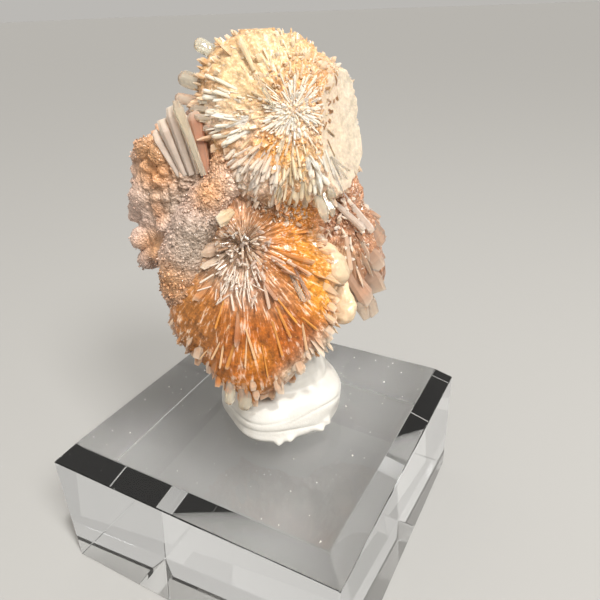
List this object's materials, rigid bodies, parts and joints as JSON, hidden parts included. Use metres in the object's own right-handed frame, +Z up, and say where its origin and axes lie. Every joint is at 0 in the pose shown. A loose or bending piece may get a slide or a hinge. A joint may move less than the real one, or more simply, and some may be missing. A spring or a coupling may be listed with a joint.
{
  "type": "mounted creedite crystal cluster",
  "caption": "Cluster of radiating orange creedite crystals held upright by white putty on a clear square display block.",
  "frame": {"origin": "centre of the display block's underside", "axes": "+Z up out of the block's top; X and Y along the block's sides; the specimen's front faces -Y, turned 29.4 degrees about +Z towards +X"},
  "size_m": [0.05, 0.05, 0.082],
  "materials": {
    "creedite": "glassy crystal faces, frosted in places",
    "putty": "matte, hand pressed",
    "clear_acrylic": "polished, clear"
  },
  "bodies": {
    "root": {"creedite_cluster": "creedite", "mounting_putty": "putty", "acrylic_block": "clear_acrylic"}
  },
  "joints": []
}
